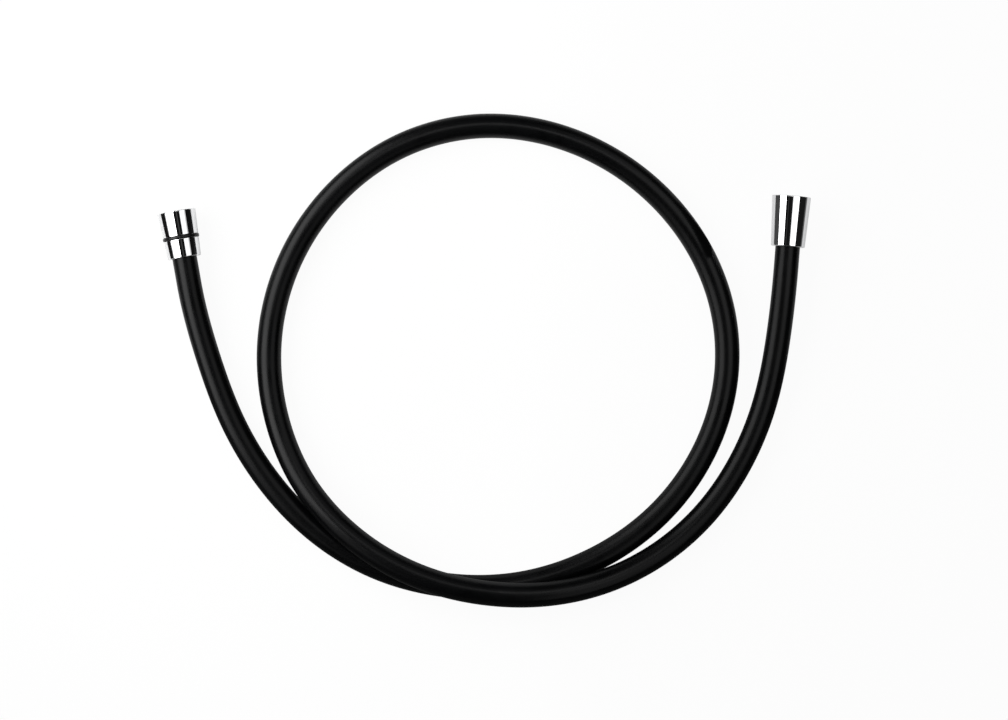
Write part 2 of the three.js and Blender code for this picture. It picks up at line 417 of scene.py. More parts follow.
def settle(piece, node, place, body, material):
    """Finishes a turned piece: keeps its place on the lathe, lays it down and lets it ride."""
    mesh = piece.data
    count = len(mesh.vertices)
    spots = np.empty(count * 3)
    mesh.vertices.foreach_get("co", spots)
    own = mesh.attributes.new(PLACE, "FLOAT_VECTOR", "POINT")
    own.data.foreach_set("vector", spots * MM)
    mesh.transform(Matrix.Scale(MM, 4) @ place)
    mesh.materials.clear()
    mesh.materials.append(material)
    mesh.shade_smooth()
    mesh.set_sharp_from_angle(angle=SHARP_ANGLE)
    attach(piece, body)
    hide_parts(node)
    low, high = np.min(spots.reshape(-1, 3), 0), np.max(spots.reshape(-1, 3), 0)
    print(piece.name, "across", round(high[0] - low[0], 2), "long", round(high[2] - low[2], 2),
          "faces", len(mesh.polygons))


print("helper for turned pieces is ready")

# %% [markdown]
# ## The pipe thread inside a nut
#
# A lathe cuts the thread into a plain bore, and so does this tree: each point of the bore that
# lies inside the thread's groove moves outwards onto it. The groove is one wave per pitch along
# the axis, and it is shifted by the angle round the axis, which makes it a helix. A G 1/2 thread
# has 14 turns to the inch, flanks 55 degrees apart, and rounded crests and roots.

# %% The tree that cuts a thread
FLANK_SLOPE, FLANK_START = 3.0, -0.25
CREST_SOFTNESS = 0.3

thread_tree, given = new_tree("Pipe thread", [
    ("Pitch", "Float"), ("Root diameter", "Float"), ("Crest diameter", "Float"),
    ("End depth", "Float"), ("Run-out", "Float"), ("Material", "Material"),
])
spot = add_node(thread_tree, "GeometryNodeInputPosition")
xyz = add_node(thread_tree, "ShaderNodeSeparateXYZ", [(0, spot.outputs[0])])
x, y, z = xyz.outputs
flat = add_node(thread_tree, "ShaderNodeCombineXYZ", [("X", x), ("Y", y)])
reach = add_node(thread_tree, "ShaderNodeVectorMath", [(0, flat.outputs[0])],
                 operation="LENGTH").outputs["Value"]
angle = add_math(thread_tree, "ARCTAN2", y, x)
turns = add_math(thread_tree, "DIVIDE", angle, 2 * math.pi)
depth = add_math(thread_tree, "MULTIPLY", z, -1.0)
pitches = add_math(thread_tree, "DIVIDE", depth, given["Pitch"])
phase = add_math(thread_tree, "ADD", pitches, turns)
wave = add_math(thread_tree, "PINGPONG", phase, 0.5)
flank = add_math(thread_tree, "MULTIPLY_ADD", wave, FLANK_SLOPE, FLANK_START)
rooted = add_math(thread_tree, "SMOOTH_MIN", flank, 1.0, CREST_SOFTNESS)
crested = add_math(thread_tree, "SMOOTH_MAX", rooted, 0.0, CREST_SOFTNESS)
crest = add_math(thread_tree, "DIVIDE", given["Crest diameter"], 2.0)
root = add_math(thread_tree, "DIVIDE", given["Root diameter"], 2.0)
height = add_math(thread_tree, "SUBTRACT", root, crest)
left = add_math(thread_tree, "SUBTRACT", given["End depth"], depth)
fade = add_math(thread_tree, "DIVIDE", left, given["Run-out"], use_clamp=True)
cut = add_math(thread_tree, "MULTIPLY", add_math(thread_tree, "MULTIPLY", crested, fade), height)
wanted = add_math(thread_tree, "ADD", crest, cut)
new_reach = add_math(thread_tree, "MAXIMUM", reach, wanted)
grow = add_math(thread_tree, "DIVIDE", new_reach, reach)
moved = add_node(thread_tree, "ShaderNodeCombineXYZ",
                 [("X", add_math(thread_tree, "MULTIPLY", x, grow)),
                  ("Y", add_math(thread_tree, "MULTIPLY", y, grow)), ("Z", z)])
in_bore = add_math(thread_tree, "MULTIPLY",
                   add_math(thread_tree, "LESS_THAN", reach, root),
                   add_math(thread_tree, "GREATER_THAN", left, 0.0))
cut_mesh = add_node(thread_tree, "GeometryNodeSetPosition",
                    [("Geometry", given["Mesh"]), ("Position", moved.outputs[0]),
                     ("Selection", in_bore)])
end_tree(thread_tree, cut_mesh.outputs[0], given["Material"])
print("thread tree has", len(thread_tree.nodes), "nodes")

# %% Sizes that both fittings share
THREAD_MAJOR = 20.955
THREAD_MINOR = 18.631
THREAD_PITCH = 1.814
THREAD_DEPTH = 8
THREAD_ROWS_PER_TURN = 14
THREAD_STOP = 0.5
LEAD_IN = 1.2
GAP = 0.3

WASHER_OUTER = THREAD_MINOR - 2 * GAP
WASHER_BORE = 10
WASHER_BACK = 10
FLANGE_FRONT, FLANGE_BACK = 10.3, 12.5
SEAT_FRONT, SEAT_BACK = 12.8, 14.4
SEAT_BORE = 13.8
NECK_OUTER = 13.2
CHAMBER_BORE = 18.1
WATERWAY = 5.6
print("washers are", round(WASHER_OUTER, 3), "mm across")


# %% A nut's socket and its thread
def nut_socket():
    """A nut's inside from its seat to its mouth, with fine rows where the thread is cut."""
    bore = [(THREAD_MINOR, SEAT_FRONT, 0), (THREAD_MINOR, WASHER_BACK, 0)]
    rows = math.ceil(WASHER_BACK / THREAD_PITCH * THREAD_ROWS_PER_TURN)
    mouth = THREAD_MAJOR + 2 * GAP
    for row in range(1, rows + 1):
        depth = WASHER_BACK * (1 - row / rows)
        widen = max(0, 1 - depth / LEAD_IN)
        bore.append((THREAD_MINOR + (mouth - THREAD_MINOR) * widen, depth, 0))
    return [(SEAT_BORE, SEAT_BACK, 0.15), (SEAT_BORE, SEAT_FRONT, 0.15), *bore]


def cut_thread(nut, material):
    """Runs the thread tree on a nut that is still on the lathe."""
    run_tree(nut, thread_tree, {
        "Pitch": THREAD_PITCH, "Root diameter": THREAD_MAJOR, "Crest diameter": THREAD_MINOR,
        "End depth": WASHER_BACK - THREAD_STOP, "Run-out": THREAD_PITCH / 2, "Material": material,
    })
    return bake(nut)


print("a nut's socket has", len(nut_socket()), "rows of points")

# %% [markdown]
# ## The plain cone nut
#
# One chromed brass cone: it is widest at the mouth, and it narrows to a rear that hides the
# crimped end of the hose. Its rear edge is clearly rounded, and its mouth more finely.

# %% Cone nut
CONE_LENGTH = 31.5
CONE_REAR = 21.1

chrome = bpy.data.materials.new("polished_chrome")
cone_outline = [
    (CONE_MOUTH, 0, 0.45),
    (CONE_REAR, CONE_LENGTH, 0.8),
    (CHAMBER_BORE, CONE_LENGTH, 0.25),
    (CHAMBER_BORE, SEAT_BACK, 0.3),
    *nut_socket(),
]
cone_nut = cut_thread(turned("cone_nut_turned", cone_outline), chrome)
settle(cone_nut, "cone_nut", cone_place, "cone_nut", chrome)

# %% [markdown]
# ## The swivel end's outside
#
# Nut, ring and sleeve share one cone. The ring is moulded black plastic, and it stands a little
# proud of the chrome on both sides, with a rounded outside that carries a thin light.

# %% Swivel nut
SWIVEL_REAR = 20.8
NUT_LENGTH = 15.4
NUT_RECESS_BORE = 15.8


def swivel_across(depth):
    """The swivel end's outer diameter at a distance behind its mouth."""
    return SWIVEL_MOUTH + (SWIVEL_REAR - SWIVEL_MOUTH) * depth / SWIVEL_LENGTH


swivel_nut_outline = [
    (SWIVEL_MOUTH, 0, 0.45),
    (swivel_across(NUT_LENGTH), NUT_LENGTH, 0.2),
    (NUT_RECESS_BORE, NUT_LENGTH, 0.15),
    (NUT_RECESS_BORE, SEAT_BACK, 0),
    *nut_socket(),
]
swivel_nut = cut_thread(turned("swivel_nut_turned", swivel_nut_outline), chrome)
settle(swivel_nut, "swivel_nut", swivel_place, "swivel_nut", chrome)

# %% Ring
RING_FRONT, RING_BACK = 15.55, 17.65
RING_PROUD = 0.4

ring_black = bpy.data.materials.new("moulded_black_ring")
ring_across = swivel_across((RING_FRONT + RING_BACK) / 2) + 2 * RING_PROUD
ring_outline = [
    (ring_across, RING_FRONT, 0.75),
    (ring_across, RING_BACK, 0.75),
    (SEAT_BORE, RING_BACK, 0.1),
    (SEAT_BORE, RING_FRONT, 0.1),
]
settle(turned("swivel_ring_moulded", ring_outline), "swivel_ring", swivel_place, "root",
       ring_black)

# %% Sleeve
SLEEVE_FRONT = 17.8
COLLAR_BACK = 18.6

sleeve_outline = [
    (swivel_across(SLEEVE_FRONT), SLEEVE_FRONT, 0.15),
    (SWIVEL_REAR, SWIVEL_LENGTH, 0.5),
    (CHAMBER_BORE, SWIVEL_LENGTH, 0.25),
    (CHAMBER_BORE, COLLAR_BACK, 0.3),
    (SEAT_BORE, COLLAR_BACK, 0.1),
    (SEAT_BORE, SLEEVE_FRONT, 0.1),
]
settle(turned("swivel_sleeve_turned", sleeve_outline), "swivel_sleeve", swivel_place, "root",
       chrome)

# %% [markdown]
# ## Inside the fittings
#
# These pieces are seen only through the mouths, or when the fittings are taken apart: rubber
# washers, the white bush that the swivel's spigot turns in, brass stems with barbed tails, an
# O-ring, a retaining clip, and the steel ferrules that grip the hose from outside.

# %% Washers
rubber = bpy.data.materials.new("seal_rubber")
for name, place in (("swivel", swivel_place), ("cone", cone_place)):
    washer_outline = [
        (WASHER_OUTER, THREAD_DEPTH, 0.25),
        (WASHER_OUTER, WASHER_BACK, 0.25),
        (WASHER_BORE, WASHER_BACK, 0.2),
        (WASHER_BORE, THREAD_DEPTH, 0.2),
    ]
    settle(turned(name + "_washer_moulded", washer_outline), name + "_washer", place,
           name + "_nut", rubber)

# %% [markdown]
# ## Stems
#
# A stem takes the water from the nut into the hose. Its tail is a row of barbs, each a short
# cone with a step, and a loop writes them, because they repeat at an even pitch. In front the
# two stems differ: that of the plain end has a flange, which the nut pulls against the washer,
# and that of the swivel has a spigot, with one groove for the clip and one for the O-ring.

# %% Barbed tail
BARB_OUTER = 8
BARB_ROOT = 7.2
BARB_PITCH = 3.4
BARB_COUNT = 4

brass = bpy.data.materials.new("turned_brass")


def barbed_tail(shoulder):
    """The outline of a stem's tail: barbs that slope up and drop off, like a row of cones."""
    points = [(BARB_OUTER, shoulder, 0.1)]
    for barb in range(1, BARB_COUNT + 1):
        crest_depth = shoulder + barb * BARB_PITCH
        points.append((BARB_OUTER, crest_depth, 0.06))
        points.append((BARB_ROOT, crest_depth, 0.06))
    end = shoulder + BARB_PITCH * (BARB_COUNT + 1)
    return points + [(BARB_ROOT, end, 0.2), (WATERWAY, end, 0.2)]


print("a tail has", BARB_COUNT, "barbs and", len(barbed_tail(0)), "points")

# %% Stem of the plain end
CONE_NECK_BACK = 14.7

cone_stem_outline = [
    (WASHER_OUTER, FLANGE_FRONT, 0.3),
    (WASHER_OUTER, FLANGE_BACK, 0.3),
    (NECK_OUTER, FLANGE_BACK, 0.1),
    (NECK_OUTER, CONE_NECK_BACK, 0.2),
    *barbed_tail(CONE_NECK_BACK),
    (WATERWAY, FLANGE_FRONT, 0.4),
]
settle(turned("cone_stem_turned", cone_stem_outline), "cone_stem", cone_place, "root",
       brass)

# %% Stem of the swivel end
SPIGOT_FRONT = 10.4
SPIGOT_OUTER = 10
CLIP_GROOVE = 8.4
CLIP_GROOVE_FRONT, CLIP_GROOVE_BACK = 10.8, 12.0
SEAL_GROOVE = 7.4
SEAL_FRONT, SEAL_BACK = 13.5, 15.5
COLLAR_FRONT = 17.3

swivel_stem_outline = [
    (SPIGOT_OUTER, SPIGOT_FRONT, 0.12),
    (SPIGOT_OUTER, CLIP_GROOVE_FRONT, 0.05),
    (CLIP_GROOVE, CLIP_GROOVE_FRONT, 0.05),
    (CLIP_GROOVE, CLIP_GROOVE_BACK, 0.05),
    (SPIGOT_OUTER, CLIP_GROOVE_BACK, 0.1),
    (SPIGOT_OUTER, SEAL_FRONT, 0.1),
    (SEAL_GROOVE, SEAL_FRONT, 0.1),
    (SEAL_GROOVE, SEAL_BACK, 0.1),
    (SPIGOT_OUTER, SEAL_BACK, 0.1),
    (SPIGOT_OUTER, COLLAR_FRONT, 0.1),
    (NECK_OUTER, COLLAR_FRONT, 0.15),
    (NECK_OUTER, COLLAR_BACK, 0.15),
    *barbed_tail(COLLAR_BACK),
    (WATERWAY, SPIGOT_FRONT, 0.3),
]
settle(turned("swivel_stem_turned", swivel_stem_outline), "swivel_stem", swivel_place, "root",
       brass)

# %% [markdown]
# ## What makes the swivel turn
#
# The nut clamps the flange of the bush against the washer, and the stem's spigot turns in the
# bush, so the hose never gets twisted. The clip keeps the spigot in, and the O-ring round it
# keeps the water in.

# %% Bush
BUSH_BORE = 10.4
BUSH_POCKET = 12.2
BUSH_BACK = 17.0
POCKET_FLOOR = 12.0

white_plastic = bpy.data.materials.new("white_bush_plastic")
bush_outline = [
    (WASHER_OUTER, FLANGE_FRONT, 0.25),
    (WASHER_OUTER, FLANGE_BACK, 0.25),
    (NECK_OUTER, FLANGE_BACK, 0.2),
    (NECK_OUTER, BUSH_BACK, 0.2),
    (BUSH_BORE, BUSH_BACK, 0.2),
    (BUSH_BORE, POCKET_FLOOR, 0.1),
    (BUSH_POCKET, POCKET_FLOOR, 0.15),
    (BUSH_POCKET, FLANGE_FRONT, 0.2),
]
settle(turned("swivel_bush_moulded", bush_outline), "swivel_bush", swivel_place, "bush",
       white_plastic)

# %% Retaining clip
CLIP_OUTER, CLIP_BORE = 11.8, 8.8
CLIP_FRONT, CLIP_BACK = 11.1, 11.7

steel = bpy.data.materials.new("pressed_steel")
clip_outline = [
    (CLIP_OUTER, CLIP_FRONT, 0.12), (CLIP_OUTER, CLIP_BACK, 0.12),
    (CLIP_BORE, CLIP_BACK, 0.12), (CLIP_BORE, CLIP_FRONT, 0.12),
]
settle(turned("swivel_clip_pressed", clip_outline), "swivel_clip", swivel_place, "root",
       steel)

# %% O-ring
SEAL_SECTION = 1.2
SEAL_SIDES = 24

seal_middle = (SEAL_FRONT + SEAL_BACK) / 2
seal_across = (SEAL_GROOVE + BUSH_BORE) / 2
seal_outline = [
    (seal_across + SEAL_SECTION * math.cos(a), seal_middle + SEAL_SECTION / 2 * math.sin(a), 0)
    for a in np.linspace(0, 2 * math.pi, SEAL_SIDES, endpoint=False)
]
settle(turned("swivel_o_ring_moulded", seal_outline), "swivel_o_ring", swivel_place, "root",
       rubber)

# %% [markdown]
# ## Ferrules
#
# A ferrule is a pressed steel cup over the hose's end, with a hole for the stem in its floor. It
# presses the hose on the stem's barbs, and the chromed sleeve or nut hides it. Only its depth
# behind the mouth and its length differ between the two ends.

# %% Ferrules
FERRULE_OUTER, FERRULE_BORE = 17.5, 16
FERRULE_LIP_BORE = 8.6
FERRULE_LIP = 0.8
FERRULES = (("swivel", swivel_place, 18.9, 9.4), ("cone", cone_place, 15.0, 13.6))

for name, place, front, length in FERRULES:
    back = front + length
    ferrule_outline = [
        (FERRULE_OUTER, front, 0.6),
        (FERRULE_OUTER, back, 0.15),
        (FERRULE_BORE, back, 0.3),
        (FERRULE_BORE, front + FERRULE_LIP, 0.2),
        (FERRULE_LIP_BORE, front + FERRULE_LIP, 0.1),
        (FERRULE_LIP_BORE, front, 0.1),
    ]
    settle(turned(name + "_ferrule_pressed", ferrule_outline), name + "_ferrule", place, "root",
           steel)

# %% [markdown]
# ## Surface effects that the materials share
#
# Every surface here differs from a perfect one in the same three ways, each in its own measure:
# a fine grain from its mould or its tool, streaks that run the way it was made, and soft marks
# from hands. Each effect is a node group with named inputs, and each material sets its values.

# %% Helper: a node group with named sockets
def new_group(name, inputs, outputs):
    """A shader node group, with its inputs and its end."""
    tree = bpy.data.node_groups.new(name, "ShaderNodeTree")
    for label, kind, value in inputs:
        socket = tree.interface.new_socket(label, in_out="INPUT", socket_type="NodeSocket" + kind)
        socket.default_value = value
    for label in outputs:
        tree.interface.new_socket(label, in_out="OUTPUT", socket_type="NodeSocketFloat")
    given = tree.nodes.new("NodeGroupInput").outputs
    return tree, given, tree.nodes.new("NodeGroupOutput").inputs


print("helper for groups is ready")

# %% Fine grain
grain_group, given, made = new_group("Fine grain", [
    ("Place", "Vector", (0, 0, 0)), ("Grain size", "Float", 0.0003),
], ["Height"])
grain_scale = add_math(grain_group, "DIVIDE", 1.0, given["Grain size"])
grain_noise = add_node(grain_group, "ShaderNodeTexNoise",
                       [("Vector", given["Place"]), ("Scale", grain_scale), ("Detail", 3.0)])
grain_group.links.new(grain_noise.outputs["Fac"], made["Height"])
print(grain_group.name, "has", len(grain_group.nodes), "nodes")

# %% Streaks
streak_group, given, made = new_group("Streaks", [
    ("Place", "Vector", (0, 0, 0)), ("Width", "Float", 0.0008),
    ("Stretch", "Vector", (1, 1, 0.02)),
], ["Height"])
stretched = add_node(streak_group, "ShaderNodeVectorMath",
                     [(0, given["Place"]), (1, given["Stretch"])], operation="MULTIPLY")
streak_scale = add_math(streak_group, "DIVIDE", 1.0, given["Width"])
streak_noise = add_node(streak_group, "ShaderNodeTexNoise",
                        [("Vector", stretched.outputs[0]), ("Scale", streak_scale),
                         ("Detail", 2.0)])
streak_group.links.new(streak_noise.outputs["Fac"], made["Height"])
print(streak_group.name, "has", len(streak_group.nodes), "nodes")

# %% Hand marks
PATCH_EDGE = 0.25

marks_group, given, made = new_group("Hand marks", [
    ("Place", "Vector", (0, 0, 0)), ("Size", "Float", 0.02), ("Cover", "Float", 0.4),
], ["Mask"])
marks_scale = add_math(marks_group, "DIVIDE", 1.0, given["Size"])
patches = add_node(marks_group, "ShaderNodeTexNoise",
                   [("Vector", given["Place"]), ("Scale", marks_scale), ("Detail", 5.0),
                    ("Roughness", 0.6), ("Distortion", 0.6)])
low_edge = add_math(marks_group, "SUBTRACT", 1 - PATCH_EDGE, given["Cover"])
high_edge = add_math(marks_group, "ADD", low_edge, PATCH_EDGE)
patch = add_node(marks_group, "ShaderNodeMapRange",
                 [("Value", patches.outputs["Fac"]), ("From Min", low_edge),
                  ("From Max", high_edge)], interpolation_type="SMOOTHSTEP")
marks_group.links.new(patch.outputs["Result"], made["Mask"])
print(marks_group.name, "has", len(marks_group.nodes), "nodes")

# %% [markdown]
# ## Materials
#
# One function lays out what all finishes have in common: a colour that the hand marks change a
# little, a roughness between two values, and a bump from grain and streaks. The shader's
# constant values, such as its index of refraction, are set straight on its sockets.

# %% A finish from the shared effects
STREAK_SHARE = 0.35


def finish(material, colour, marked, rough, grain, streaks, marks, metallic=0.0, ior=1.45):
    """Fills a material: colour and marked are red, green and blue, rough is (from, to),
    grain is (size, depth), streaks (width, stretch, depth) and marks (size, cover)."""
    tree = bare_tree(material)
    own = add_node(tree, "ShaderNodeAttribute", attribute_name=PLACE, attribute_type="GEOMETRY")
    spot = own.outputs["Vector"]
    size, grain_depth = grain
    width, stretch, streak_depth = streaks
    fine = add_node(tree, "ShaderNodeGroup", node_tree=grain_group)
    lines = add_node(tree, "ShaderNodeGroup", node_tree=streak_group)
    hands = add_node(tree, "ShaderNodeGroup", node_tree=marks_group)
    for group, values in ((fine, {"Grain size": size}), (lines, {"Width": width}),
                          (hands, {"Size": marks[0], "Cover": marks[1]})):
        tree.links.new(spot, group.inputs["Place"])
        for name, value in values.items():
            group.inputs[name].default_value = value
    lines.inputs["Stretch"].default_value = stretch
    mask = hands.outputs["Mask"]
    tint = add_node(tree, "ShaderNodeMix",
                    [("Factor", mask), (6, (*colour, 1)), (7, (*marked, 1))], data_type="RGBA")
    blend = add_math(tree, "MULTIPLY_ADD", lines.outputs["Height"], STREAK_SHARE,
                     add_math(tree, "MULTIPLY", mask, 1 - STREAK_SHARE))
    roughness = add_node(tree, "ShaderNodeMapRange",
                         [("Value", blend), ("To Min", rough[0]), ("To Max", rough[1])])
    fine_bump = add_node(tree, "ShaderNodeBump",
                         [("Height", fine.outputs["Height"]), ("Distance", grain_depth),
                          ("Strength", 1.0)])
    line_bump = add_node(tree, "ShaderNodeBump",
                         [("Height", lines.outputs["Height"]), ("Distance", streak_depth),
                          ("Strength", 1.0), ("Normal", fine_bump.outputs[0])])
    shader = add_node(tree, "ShaderNodeBsdfPrincipled",
                      [("Base Color", tint.outputs[2]), ("Roughness", roughness.outputs[0]),
                       ("Normal", line_bump.outputs[0]), ("Metallic", metallic), ("IOR", ior)])
    add_node(tree, "ShaderNodeOutputMaterial", [("Surface", shader.outputs[0])])
    print(material.name, "roughness", rough, "index", ior)


print("helper for finishes is ready")

# %% [markdown]
# ## Black plastics
#
# The hose is soft plastic, nearly black and satin. Fine lines run along it, from the die that
# it was pushed through, and they break its long highlights up a little. A low index of
# refraction keeps its rims from turning pale, as they stay dark in the photograph. The ring is
# moulded from harder plastic, so it is glossier, and its streaks run round it.

# %% Finishes of the hose and the ring
finish(hose_material, colour=(0.0007, 0.00075, 0.0009), marked=(0.0013, 0.0014, 0.0016),
       rough=(0.25, 0.33), grain=(0.00022, 0.000004), streaks=(0.0011, (1, 1, 0.012), 0.000012),
       marks=(0.03, 0.45), ior=1.22)
finish(ring_black, colour=(0.003, 0.003, 0.0032), marked=(0.005, 0.005, 0.0052),
       rough=(0.24, 0.32), grain=(0.00018, 0.000003), streaks=(0.0006, (0.2, 0.2, 1), 0.000004),
       marks=(0.008, 0.4), ior=1.3)

# %% [markdown]
# ## Rubber and white plastic
#
# The washers and the O-ring are moulded rubber: dark grey and matt, with the deepest grain of
# all, because such moulds are blasted. The bush is a hard white plastic that slides well. It has
# a soft shine, and it turns slightly yellow where it is handled.

# %% Finishes of the seals and the bush
finish(rubber, colour=(0.016, 0.016, 0.016), marked=(0.03, 0.03, 0.029),
       rough=(0.6, 0.78), grain=(0.00016, 0.000012), streaks=(0.0007, (0.3, 0.3, 1), 0.000008),
       marks=(0.006, 0.45))
finish(white_plastic, colour=(0.76, 0.74, 0.69), marked=(0.69, 0.66, 0.6),
       rough=(0.36, 0.5), grain=(0.0003, 0.000006), streaks=(0.0012, (0.3, 0.3, 1), 0.000006),
       marks=(0.006, 0.4))

# %% [markdown]
# ## Metals
#
# A metal's colour tints its reflections, so Metallic is one and the base colour is that of the
# metal. The stems keep the lines of the lathe in their brass, and the pressed steel pieces have
# shallower ones. Chrome is plated on polished brass. It is nearly a mirror, and only hand marks
# and the last traces of polishing soften what it reflects.

# %% Finishes of brass, steel and chrome
finish(brass, colour=(0.72, 0.49, 0.2), marked=(0.56, 0.36, 0.15),
       rough=(0.2, 0.38), grain=(0.00025, 0.000002), streaks=(0.0002, (0.04, 0.04, 1), 0.000006),
       marks=(0.007, 0.45), metallic=1.0)
finish(steel, colour=(0.56, 0.56, 0.57), marked=(0.46, 0.46, 0.47),
       rough=(0.24, 0.36), grain=(0.0003, 0.000002), streaks=(0.0003, (0.05, 0.05, 1), 0.000004),
       marks=(0.009, 0.4), metallic=1.0)
finish(chrome, colour=(0.88, 0.885, 0.895), marked=(0.86, 0.865, 0.872),
       rough=(0.025, 0.06), grain=(0.0006, 0.0000004), streaks=(0.0004, (0.1, 0.1, 1), 0.0000006),
       marks=(0.012, 0.4), metallic=1.0)

# %% [markdown]
# ## The table and the room
#
# The camera sees the table as nearly white, and a share of its real shading keeps the hose's
# shadow. What glossy rays see of the table is a painted reflection: it is painted bright inside
# the loop and near the nuts, whose lower sides mirror it, and painted dim further off, where it
# would put a pale rim on the black hose. The Light Path node tells a material which kind of ray
# has met it. The room works in the same way: what looks at it sees white, but it gives only a
# little light, so that most light comes from the softboxes.

# %% Table
TABLE_SIZE = 24
TABLE_COLOUR = (0.9, 0.9, 0.9, 1)
WHITE = (1, 1, 1, 1)
WHITE_SHARE = 0.95
GLOSSY_SHARE = 0.5

bpy.ops.mesh.primitive_plane_add(size=TABLE_SIZE, location=(0, 0, 0))
table = bpy.context.object
table.name = "table"
table_white = bpy.data.materials.new("table_white")
table.data.materials.append(table_white)
tree = bare_tree(table_white)
rays = add_node(tree, "ShaderNodeLightPath")
seen = add_math(tree, "MAXIMUM", rays.outputs["Is Camera Ray"],
                rays.outputs["Is Transmission Ray"])
glossy = rays.outputs["Is Glossy Ray"]
share = add_math(tree, "MULTIPLY_ADD", glossy, GLOSSY_SHARE,
                 add_math(tree, "MULTIPLY", seen, WHITE_SHARE))
lit = add_node(tree, "ShaderNodeBsdfDiffuse", [("Color", TABLE_COLOUR)])
plain = add_node(tree, "ShaderNodeEmission", [("Color", WHITE), ("Strength", 1.0)])
white = add_node(tree, "ShaderNodeMixShader",
                 [(0, share), (1, lit.outputs[0]), (2, plain.outputs[0])])
print("table", TABLE_SIZE, "m wide")

# %% Where the table's reflection is painted bright, and where it is painted dim
BRIGHT_SHARE = 0.85
DIM_SHARE = 0.12
NUT_REACH = (0.06, 0.11)
LOOP_REACH = (0.12, 0.2)
LOOP_MIDDLE = (0.005, -0.03, 0)

spot = add_node(tree, "ShaderNodeTexCoord").outputs["Object"]
bright_places = [(LOOP_MIDDLE, LOOP_REACH)]
for place in (swivel_place, cone_place):
    bright_places.append(((place @ Vector((0, 0, -SWIVEL_LENGTH / 2))) * MM, NUT_REACH))
# Painted reflection: glossy rays see the table dimmed by its place, not by the light that falls
# on it.
painted_reflection_dim = glossy
for middle, reach in bright_places:
    away = add_node(tree, "ShaderNodeVectorMath", [(0, spot), (1, middle)],
                    operation="DISTANCE").outputs["Value"]
    dark = add_node(tree, "ShaderNodeMapRange",
                    [("Value", away), ("From Min", reach[0]), ("From Max", reach[1]),
                     ("To Min", 1 - BRIGHT_SHARE), ("To Max", 1 - DIM_SHARE)],
                    interpolation_type="SMOOTHSTEP").outputs[0]
    painted_reflection_dim = add_math(tree, "MINIMUM", painted_reflection_dim, dark)
nothing = add_node(tree, "ShaderNodeEmission", [("Strength", 0.0)])
mixed = add_node(tree, "ShaderNodeMixShader",
                 [(0, painted_reflection_dim), (1, white.outputs[0]), (2, nothing.outputs[0])])
add_node(tree, "ShaderNodeOutputMaterial", [("Surface", mixed.outputs[0])])
print("its reflection is bright at", len(bright_places), "places")

# %% White room
ROOM_LIGHT = 0.1

world = bpy.data.worlds.new("white_room")
bpy.context.scene.world = world
tree = bare_tree(world)
rays = add_node(tree, "ShaderNodeLightPath")
seen = add_math(tree, "MAXIMUM", rays.outputs["Is Camera Ray"],
                add_math(tree, "MAXIMUM", rays.outputs["Is Glossy Ray"],
                         rays.outputs["Is Transmission Ray"]))
level = add_node(tree, "ShaderNodeMapRange",
                 [("Value", seen), ("To Min", ROOM_LIGHT), ("To Max", 1.0)])
room = add_node(tree, "ShaderNodeBackground",
                [("Color", WHITE), ("Strength", level.outputs[0])])
add_node(tree, "ShaderNodeOutputWorld", [("Surface", room.outputs[0])])
print("the room lights with a strength of", ROOM_LIGHT)

# %% [markdown]
# ## Softboxes
#
# What makes chrome look like chrome is what it has to reflect. The photograph's nuts show white
# stripes with black ones between them, and a mirror's law turns the edge of each stripe into a
# direction. The edges of the three softboxes were placed by these directions.

# %% Softboxes
def softbox(name, low_edge, high_edge, reach, brightness):
    """A soft light between two level edges, each given as (x, z), that faces the object.

    Both edges reach from one y to another. The light's power follows from how bright its face
    looks: power = pi x area x brightness.
    """
    low, high = Vector(low_edge), Vector(high_edge)
    middle = (low + high) / 2
    rise = Vector((high[0] - low[0], 0, high[1] - low[1]))
    level = Vector((0, 1, 0))
    back = rise.normalized().cross(level)
    if back.dot(Vector((middle[0], 0, middle[1]))) < 0:
        level, back = -level, -back
    light = bpy.data.lights.new(name, "AREA")
    light.shape = "RECTANGLE"
    light.size = rise.length
    light.size_y = reach[1] - reach[0]
    light.energy = math.pi * light.size * light.size_y * brightness
    lamp = bpy.data.objects.new(name, light)
    bpy.context.scene.collection.objects.link(lamp)
    turn = Matrix([rise.normalized(), level, back]).transposed()
    lamp.location = (middle[0], (reach[0] + reach[1]) / 2, middle[1])
    lamp.rotation_euler = turn.to_euler()
    lamp.visible_camera = False
    print(name, "size", round(light.size, 2), round(light.size_y, 2),
          "power", round(light.energy, 1))


softbox("softbox_left", low_edge=(-0.48, 0.16), high_edge=(-0.5, 1.02),
        reach=(-0.3, 0.7), brightness=5.2)
softbox("softbox_right", low_edge=(0.94, 0.74), high_edge=(0.37, 1.5),
        reach=(-0.3, 0.7), brightness=1.1)
softbox("softbox_far", low_edge=(-0.35, 1.5), high_edge=(0.35, 1.5),
        reach=(0.3, 0.65), brightness=3.4)

# %% [markdown]
# ## Black and grey cloths
#
# The black stripes come from cloths, which a photographer hangs round chrome and black plastic.
# Only glossy rays see them, so they take no light from the scene. The near and the far cloth
# carry a painted gradient of light: their glow is black above and grows lighter towards the
# floor. If they were evenly grey, the scrim would show against them in the nuts, as hard dark
# bands.

# %% A cloth's material
CLOTH_FADE = 1.4


